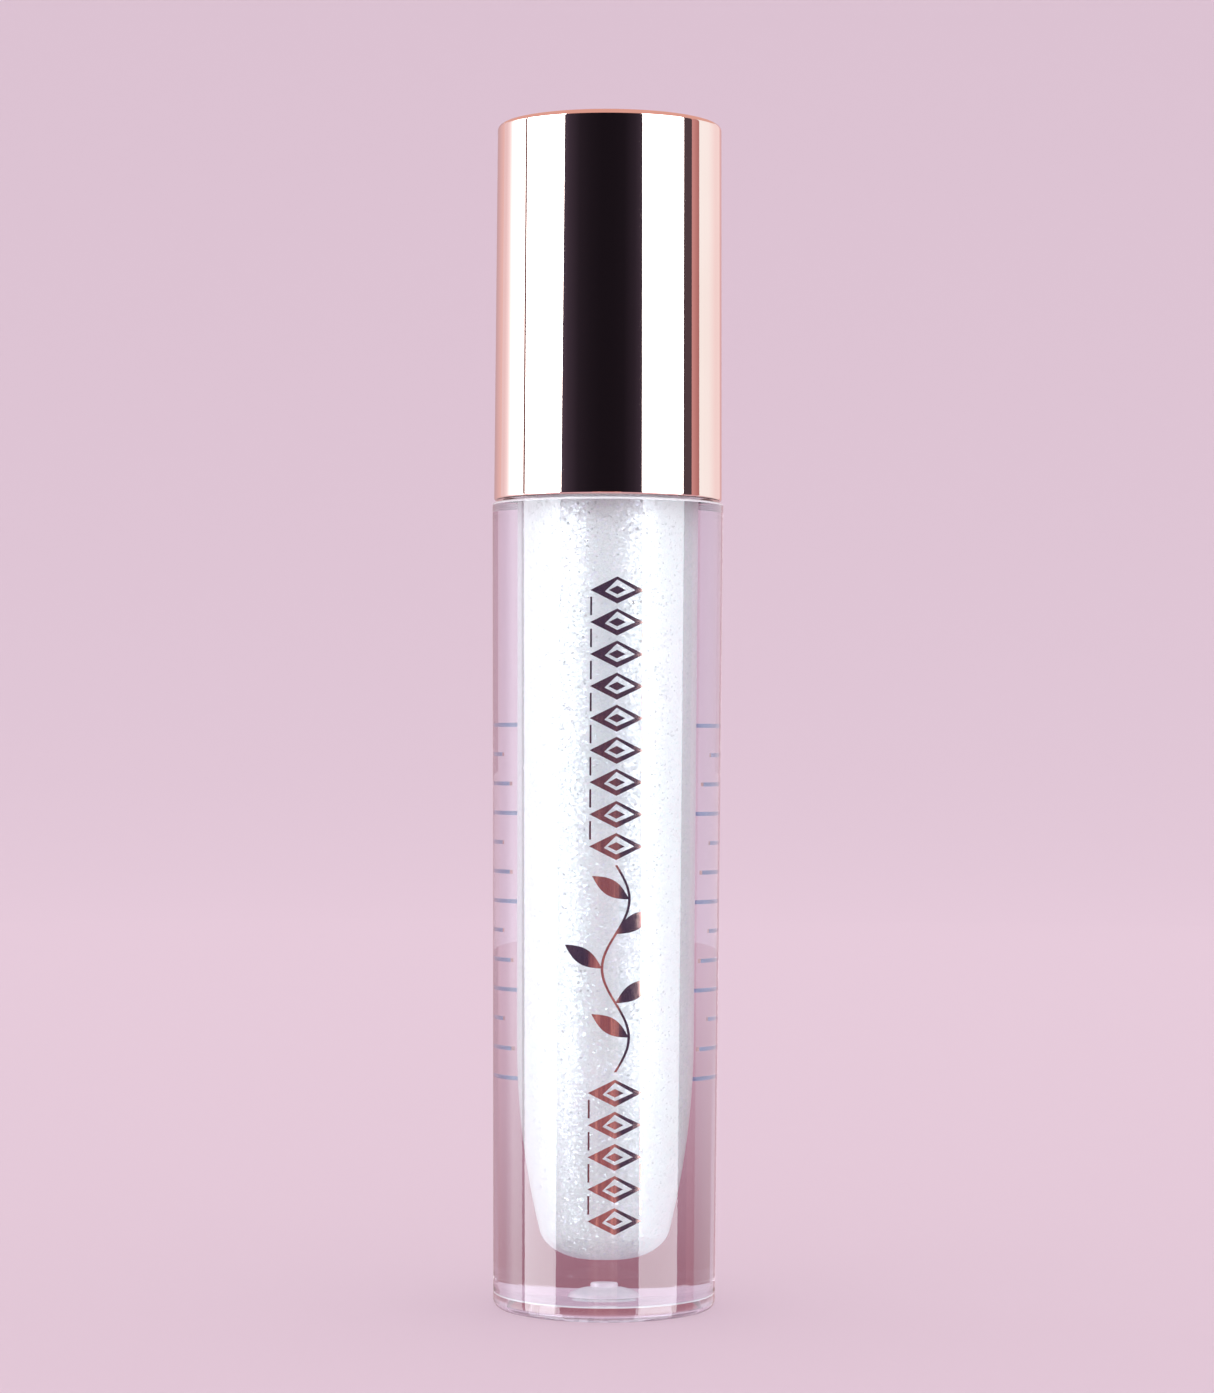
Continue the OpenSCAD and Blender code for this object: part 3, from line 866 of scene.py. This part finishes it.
def weight_ring():
    """Turned steel ring with chamfers and two shallow tool grooves."""
    low, high = box("cap_weight")
    bore_r, outer_r = reach("cap_weight", low.z, high.z)
    inner_edge, outer_edge = 0.15, 0.3
    groove_inset, groove_half, groove_depth = 2.4, 0.2, 0.12
    corners = [(bore_r, low.z, inner_edge), (outer_r, low.z, outer_edge)]
    for z in (low.z + groove_inset, high.z - groove_inset):
        corners.append((outer_r, z - groove_half, 0))
        corners.append((outer_r - groove_depth, z, 0.1))
        corners.append((outer_r, z + groove_half, 0))
    corners += [(outer_r, high.z, outer_edge), (bore_r, high.z, inner_edge)]
    bm = lathe(rounded(corners, closed=True, steps=4), 128, closed=True)
    add_piece("weight_ring", bm, steel_material(), "weight", "plated_steel", "cap_weight")


def liner():
    """Threaded liner: skirt with its ridge inside, rim, roof, ribs and the boss for the rod."""
    low, high = box("inner_cap")
    skirt_r, rim_r, roof_r = 7.9, 8.4, 8.3
    thread_r = 6.7
    seal_top = box("gasket")[1].z
    roof_low = seal_top + 0.03
    roof_top = roof_low + 1.3
    boss_r = 3.4
    bore_r = 2.03
    socket_top = high.z - 0.9
    start_z = neck_thread_z - CAP_THREAD_DROP
    inside = upright(thread_r, roof_low - 0.4, low.z + 0.3, 0.1)
    outline = rounded([
        (0, socket_top, 0),
        (bore_r, socket_top, 0.1),
        (bore_r, roof_low, 0.1),
        (thread_r, roof_low, 0.3),
        (thread_r, roof_low - 0.35, 0),
    ]) + inside + rounded([
        (thread_r, low.z + 0.25, 0),
        (thread_r, low.z, 0.2),
        (rim_r, low.z, 0.15),
        (rim_r, low.z + 1, 0.1),
        (skirt_r, low.z + 1, 0.1),
        (skirt_r, roof_low, 0.1),
        (roof_r, roof_low, 0.1),
        (roof_r, roof_top, 0.1),
        (boss_r, roof_top, 0.2),
        (boss_r, high.z, 0.2),
        (0, high.z, 0),
    ])

    def ridge(angle, r, z):
        inner = abs(r - thread_r) < 0.01 and low.z + 0.3 <= z <= roof_low - 0.4
        return -thread_height(angle, z, start_z) if inner else 0

    bm = lathe(outline, shift=ridge)
    ribs, fins, thick, fin_r, fin_h = 12, 4, 0.8, 5.1, 4
    for i in range(ribs):
        turn = i * 360 / ribs
        upright_block(bm, turn, skirt_r - 0.1, roof_r - 0.05, thick, low.z + 0.9, roof_low + 0.1)
    for i in range(fins):
        turn = (i + 0.5) * 360 / fins
        upright_block(bm, turn, boss_r - 0.1, fin_r, thick, roof_top - 0.1, roof_top + fin_h)
    material = moulded_material("liner_plastic", (0.93, 0.93, 0.92), (0.87, 0.87, 0.87), 0.38, 300, 0.25)
    add_piece("threaded_liner", bm, material, "cap", "liner_plastic", "inner_cap", sharp=40)


def upright_block(bm, turn, inner, outer, width, low, high):
    """Adds an upright rib or fin with rounded outer edges to a mesh."""
    made = bmesh.ops.create_cube(bm, size=1)["verts"]
    size = Matrix.Diagonal((outer - inner, width, high - low, 1))
    place = Matrix.Translation(((inner + outer) / 2, 0, (low + high) / 2))
    spin = Matrix.Rotation(math.radians(turn), 4, "Z")
    bmesh.ops.transform(bm, matrix=Matrix.Scale(MM, 4) @ spin @ place @ size, verts=made)
    edges = {e for v in made for e in v.link_edges}
    bmesh.ops.bevel(bm, geom=list(edges), offset=0.08 * MM, segments=2, affect="EDGES")


def rod():
    """Wand's rod, with its snap bead in the boss and the socket at its lower end."""
    low, high = box("stem")
    r = 2.0
    socket_r = 1.23
    socket_top = low.z + 5.2
    snap_r = high.x
    snap_z = high.z - 2.7
    outline = rounded([
        (0, socket_top, 0),
        (socket_r, socket_top, 0.1),
        (socket_r, low.z, 0.08),
        (r, low.z, 0.15),
        (r, snap_z - 0.6, 0.05),
        (snap_r, snap_z - 0.4, 0.05),
        (snap_r, snap_z, 0.05),
        (r, snap_z + 0.6, 0.1),
        (r, high.z, 0.4),
        (0, high.z, 0),
    ])
    material = moulded_material("rod_plastic", (0.94, 0.93, 0.92), (0.9, 0.89, 0.88), 0.28, 260, 0.4)
    add_piece("wand_rod", lathe(outline, 128), material, "cap", "rod_plastic", "stem")


# Applicator: a rounded finger, cut by a slanted face towards the front
SLANT = math.radians(17)
SLANT_Y = 0.7
NOSE_R = 1.1


def slant_limit(z, tip_z, grow):
    """Lowest Y of the finger at a height, which the slanted face sets."""
    return SLANT_Y - grow - (z - tip_z) * math.tan(SLANT)


def finger(r, tip_z, low, high, grow):
    """Rounded finger of radius r, turned and then pressed back to its slanted face."""
    outline = [(0, low)] + arc(r - NOSE_R, low + NOSE_R, NOSE_R, -90, 0, 8)
    outline += upright(r, low + NOSE_R + 0.3, high - 1.1, 0.4)
    outline += rounded([
        (r, high - 1.0, 0),
        (r, high - 0.7, 0.3),
        (r - 0.6, high, 0.3),
        (0, high, 0),
    ], steps=5)
    bm = lathe(outline, 96)
    for v in bm.verts:
        limit = slant_limit(v.co.z / MM, tip_z, grow) * MM
        v.co.y = max(v.co.y, limit)
    return bm


def applicator():
    """Core of the applicator: finger, neck, collar and the shank in the rod."""
    low, high = box("applicator_core")
    flock_low, flock_high = box("flocking")
    collar_top = box("stem")[0].z - 0.03
    collar_low = collar_top - 0.8
    core_r, waist_r, collar_r, shank_r = 1.45, 0.95, 1.75, 1.2
    outline = rounded([
        (0, low.z + 0.5, 0),
        (shank_r, low.z + 0.5, 0.4),
        (core_r, low.z + 3, 0.3),
        (core_r, flock_high.z - 0.6, 0.3),
        (waist_r, flock_high.z - 0.35, 0.2),
        (waist_r, collar_low, 0.15),
        (collar_r, collar_low, 0.12),
        (collar_r, collar_top, 0.12),
        (shank_r, collar_top, 0.05),
        (shank_r, high.z, 0.2),
        (0, high.z, 0),
    ])
    bm = lathe(outline, 96)
    for v in bm.verts:
        limit = slant_limit(v.co.z / MM, flock_low.z, 0) * MM
        if v.co.z < (flock_high.z - 0.5) * MM and v.co.y < limit:
            v.co.y = limit
    material = moulded_material("tip_plastic", (0.94, 0.92, 0.89), (0.88, 0.86, 0.83), 0.42, 420, 0.3)
    add_piece("applicator", bm, material, "cap", "tip_plastic", "applicator_core")


def flock_tip():
    """Flocked coat: a felt skin with thousands of short fibres standing on it."""
    low, high = box("flocking")
    fibre_l, fibre_r, sunk = 0.3, 0.014, 0.02
    skin_r = high.x - fibre_l
    bm = finger(skin_r, low.z, low.z + fibre_l, high.z - 0.15, 0.4 - fibre_l + 0.02)
    random.seed(7)
    bm.faces.ensure_lookup_table()
    bm.normal_update()
    faces = [f for f in bm.faces if f.calc_area() > 0]
    areas = [f.calc_area() for f in faces]
    fibres = 7000
    grown = []
    for face in random.choices(faces, areas, k=fibres):
        corners = [v.co for v in face.verts]
        weights = [random.random() for _ in corners]
        root = sum((c * w for c, w in zip(corners, weights)), Vector()) / sum(weights)
        lean = Vector([random.gauss(0, 0.28) for _ in range(3)])
        along = (face.normal + lean).normalized()
        length = fibre_l * random.uniform(0.6, 0.95) * MM
        grown.append((root - face.normal * sunk * MM, along * length))
    for root, along in grown:
        side = along.orthogonal().normalized() * fibre_r * MM
        other = along.cross(side).normalized() * fibre_r * MM
        base = [bm.verts.new(root + d) for d in (side, -side / 2 + other, -side / 2 - other)]
        top = bm.verts.new(root + along)
        for a, b in ((0, 1), (1, 2), (2, 0)):
            bm.faces.new((base[a], base[b], top))
        bm.faces.new(base[::-1])
    top_r = high.x
    for v in bm.verts:
        flat = Vector((v.co.x, v.co.y, 0))
        if flat.length > top_r * MM:
            v.co -= flat - flat.normalized() * top_r * MM
        v.co.z = min(max(v.co.z, low.z * MM), high.z * MM)
    add_piece("flock_tip", bm, flock_material(), "cap", "flock", "flocking")


# --- studio -----------------------------------------------------------------------------

BACKDROP = (0.8, 0.6, 0.69)
# Darker glow for the pit's band below the floor's level: painted shade.
SHADE_BAND_GLOW = (0.33, 0.1, 0.13)
LEVEL = (0.7, 0.47, 0.56)
WHITE = [(0.92, 1, 1.03)] * 2

# Kinds of rays that don't see a light
MIRROR_ONLY = ("diffuse", "transmission", "shadow")
CLEAR_ONLY = ("diffuse", "glossy", "shadow")
DIFFUSE_ONLY = ("glossy", "transmission", "shadow")

# Cove: flat floor, round bend and upright wall
COVE_EDGE = 620
COVE_BEND = 900
COVE_TOP = 1700

# Distances and heights of the panels
PANEL_R = 900
PANEL_LOW = -260
PANEL_HIGH = 420
LAMP_R = 1650
LAMP_HIGH = 770
CARD_R = 1050
SCREEN_R = 1100

# Azimuths that the two main lights cover at their lower and upper edge
LEFT_LIGHT = ((-89, -52), (-94, -45))
RIGHT_LIGHT = ((36, 80), (33, 82))


def stage_object(name, bm, material, unseen=()):
    """Part of the studio, hidden from the kinds of rays that are named."""
    obj = add_object(name, bm, material, 40)
    for kind in unseen:
        setattr(obj, "visible_" + kind, False)
    return obj


def tint(bm, colours):
    """Gives each vertex of a mesh its glow colour."""
    layer = bm.verts.layers.float_color.new("glow")
    for vert, colour in zip(bm.verts, colours):
        vert[layer] = (*colour, 1)


def only_light(lamp, receivers, state):
    """Lets a lamp light nothing but the receivers (INCLUDE), or all but them (EXCLUDE)."""
    group = bpy.data.collections.new(lamp.name + "_receivers")
    for obj in receivers:
        group.objects.link(obj)
    for entry in group.collection_objects:
        entry.light_linking.link_state = state
    lamp.light_linking.receiver_collection = group


def cove():
    """Pale floor that curves up into a round wall, with a lamp of its own overhead."""
    paper = paper_material()
    floor_z = foot_z - 0.02
    floor = lathe([(0, floor_z), (COVE_EDGE, floor_z)], STUDIO_TURNS)
    curve = arc(COVE_EDGE, floor_z + COVE_BEND, COVE_BEND, -90, 0, 24)
    curve.append((COVE_EDGE + COVE_BEND, floor_z + COVE_TOP))
    wall = lathe(curve, STUDIO_TURNS)
    backdrop = (
        stage_object("floor", floor, paper, ("glossy", "transmission")),
        stage_object("cove_wall", wall, paper, ("glossy", "diffuse", "shadow")),
    )
    overhead = lathe([(0, COVE_TOP), (700, COVE_TOP), (1300, COVE_TOP - 100)], STUDIO_TURNS)
    tint(overhead, [(1, 0.97, 1)] * len(overhead.verts))
    light = glow("overhead_lamp", 1.25, False)
    lamp = stage_object("overhead_lamp", overhead, light, ("camera", *DIFFUSE_ONLY))
    only_light(lamp, backdrop, "INCLUDE")
    for name in ("lamp_left", "lamp_right", "lamp_front"):
        only_light(bpy.data.objects[name], backdrop, "EXCLUDE")


def pit():
    """Glow round and under the floor, which mirrors and clear walls see in its place. Its darker band
    below the floor's level is painted shade.
    """
    depth, shade_low, shade_high = 800, -350 * MM, -100 * MM
    levels = [(COVE_EDGE + COVE_BEND, z) for z in (-depth, -420, -300, -240, -60, 300)]
    bm = lathe([(0, -depth), *levels], STUDIO_TURNS)
    # The band between these heights glows darker: painted shade.
    tint(bm, [SHADE_BAND_GLOW if shade_low < v.co.z < shade_high else LEVEL for v in bm.verts])
    stage_object("pit", bm, glow("pit", 1.0, False), ("camera", "diffuse", "shadow"))


def panel(name, bottom, top, low, high, colours, strength=1.0, distance=PANEL_R, unseen=()):
    """Upright light or card between two azimuths, in degrees right of the front.

    Its colour goes evenly through colours from the first azimuth to the second."""
    bm = bmesh.new()
    steps = 12
    rows, tints = [], []
    for (start, end), z in ((bottom, low), (top, high)):
        row = []
        for i in range(steps + 1):
            share = i / steps
            a = math.radians(start + (end - start) * share)
            place = share * (len(colours) - 1)
            first = min(int(place), len(colours) - 2)
            tints.append(Vector(colours[first]).lerp(Vector(colours[first + 1]), place - first))
            row.append(bm.verts.new(Vector((distance * math.sin(a), -distance * math.cos(a), z)) * MM))
        rows.append(row)
    for i in range(steps):
        bm.faces.new((rows[0][i], rows[1][i], rows[1][i + 1], rows[0][i + 1]))
    tint(bm, tints)
    stage_object(name, bm, glow(name, strength), ("camera", *unseen))


def card(name, bottom, top, colours, strength=1.0, unseen=MIRROR_ONLY):
    """Panel of the usual height and distance."""
    panel(name, bottom, top, PANEL_LOW, PANEL_HIGH, colours, strength, unseen=unseen)


def main_lights():
    """Two tall softboxes for mirrors and clear walls, and the lamps for matt surfaces."""
    card("softbox_left", *LEFT_LIGHT, WHITE, 6.8, ("diffuse", "shadow"))
    card("softbox_right", *RIGHT_LIGHT, WHITE, 5.6, ("diffuse", "shadow"))
    front = ((-44, 32), (-44, 32))
    lamps = {"left": (LEFT_LIGHT, 2.8), "right": (RIGHT_LIGHT, 2.6), "front": (front, 2.0)}
    for side, (azimuths, strength) in lamps.items():
        panel("lamp_" + side, *azimuths, 0, LAMP_HIGH, WHITE, strength, LAMP_R, DIFFUSE_ONLY)


def side_cards():
    """Dimmer fills behind the softboxes, rose cards at the back and the dark gaps between."""
    pale = [(0.84, 0.68, 0.72), (0.86, 0.7, 0.75), (1.0, 0.92, 0.98), (1.6, 1.6, 1.7)]
    pale += [(2.7, 2.8, 2.9), (3, 3.2, 3.3), (3, 3.2, 3.3)]
    blush = [(1.0, 1.12, 1.16), (1.0, 1.08, 1.12), (0.95, 0.85, 0.88), (0.95, 0.8, 0.8)]
    card("fill_left", (-138, -93), (-138, -96.5), pale)
    card("fill_right", (106, 157), (104, 156), blush)
    rim_left = [(0.55, 0.36, 0.38), (0.62, 0.42, 0.45), (0.85, 0.6, 0.6)]
    rim_right = [(0.75, 0.45, 0.45), (0.72, 0.48, 0.52), (0.6, 0.4, 0.44)]
    card("rose_left", (-180, -138), (-180, -138), rim_left)
    card("rose_right", (157, 180), (156, 180), rim_right)
    # The side cards, seen only through clear walls and darker than the backdrop, paint shade on the
    # tube's far edges.
    card("side_right", (76, 112), (76, 112), [(0.46, 0.27, 0.35)] * 2, unseen=CLEAR_ONLY)
    card("side_left", (-112, -76), (-112, -76), [(0.62, 0.42, 0.53)] * 2, unseen=CLEAR_ONLY)
    card("rose_gap", (93, 106), (93, 104), [(0.75, 0.4, 0.4), (0.5, 0.22, 0.22)], 0.85)
    card("left_gap", (-93, -89), (-96.5, -94), [(0.2, 0.13, 0.14)] * 2)
    card("right_gap", (80, 93), (82, 93), [(0.08, 0.06, 0.075)] * 2)


def front_screens():
    """Dark screen round the camera, with a low striped copper card that the foil mirrors."""
    copper = (0.5, 0.21, 0.16)
    streak = (1.1, 0.7, 0.6)
    stripes = [streak if i in (3, 10, 12) else copper for i in range(13)]
    span = (-16, 13)
    panel("copper_card", span, span, PANEL_LOW, 0, stripes, 1.0, CARD_R, MIRROR_ONLY)
    shares = (10, 10, 10, 4.5, 2, 1.3, 1, 1, 1.2, 2.6, 6, 6, 6)
    dark = [Vector((0.0098, 0.008, 0.0125)) * share for share in shares]
    span = (-75, 60)
    screen_high = PANEL_HIGH + 200
    panel("dark_screen", span, span, PANEL_LOW, screen_high, dark, 1.0, SCREEN_R, MIRROR_ONLY)


def canopy():
    """Rose dome over the set, which shows in the rounded edges of the cap."""
    outline = [(PANEL_R, 10), (800, 300), (500, 550), (0, 650)]
    bm = lathe([(r, PANEL_HIGH + z) for r, z in outline], STUDIO_TURNS)
    tint(bm, [(0.75, 0.45, 0.4)] * len(bm.verts))
    stage_object("canopy", bm, glow("canopy", 1.0, False), ("camera", *MIRROR_ONLY))


def air():
    """Pale even light from all round, and the render's view and bounces."""
    world = bpy.data.worlds.new("studio_air")
    world.use_nodes = True
    background = world.node_tree.nodes["Background"]
    background.inputs["Color"].default_value = (0.92, 0.96, 1, 1)
    background.inputs["Strength"].default_value = 0.95
    scene = bpy.context.scene
    scene.world = world
    scene.view_settings.view_transform = "Standard"
    scene.cycles.max_bounces = 20
    scene.cycles.transmission_bounces = 20


def camera():
    """Level camera in front of the tube, with the long lens of a product picture."""
    pitch, roll = math.radians(90.56), math.radians(0.278)
    data = bpy.data.cameras.new("camera")
    data.lens = 93.2
    data.sensor_width = 36
    data.clip_start = 0.01
    obj = bpy.data.objects.new("camera", data)
    turned = Matrix.Rotation(pitch, 4, "X") @ Matrix.Rotation(roll, 4, "Z")
    obj.matrix_world = Matrix.Translation((0, -0.302, 0.048)) @ turned
    bpy.context.scene.collection.objects.link(obj)
    bpy.context.scene.camera = obj


camera()
main_lights()
side_cards()
front_screens()
canopy()
air()
cove()
pit()
clear_body()
gloss()
prints()
label()
neck_wiper()
seal_ring()
outer_cap()
weight_ring()
liner()
rod()
applicator()
flock_tip()
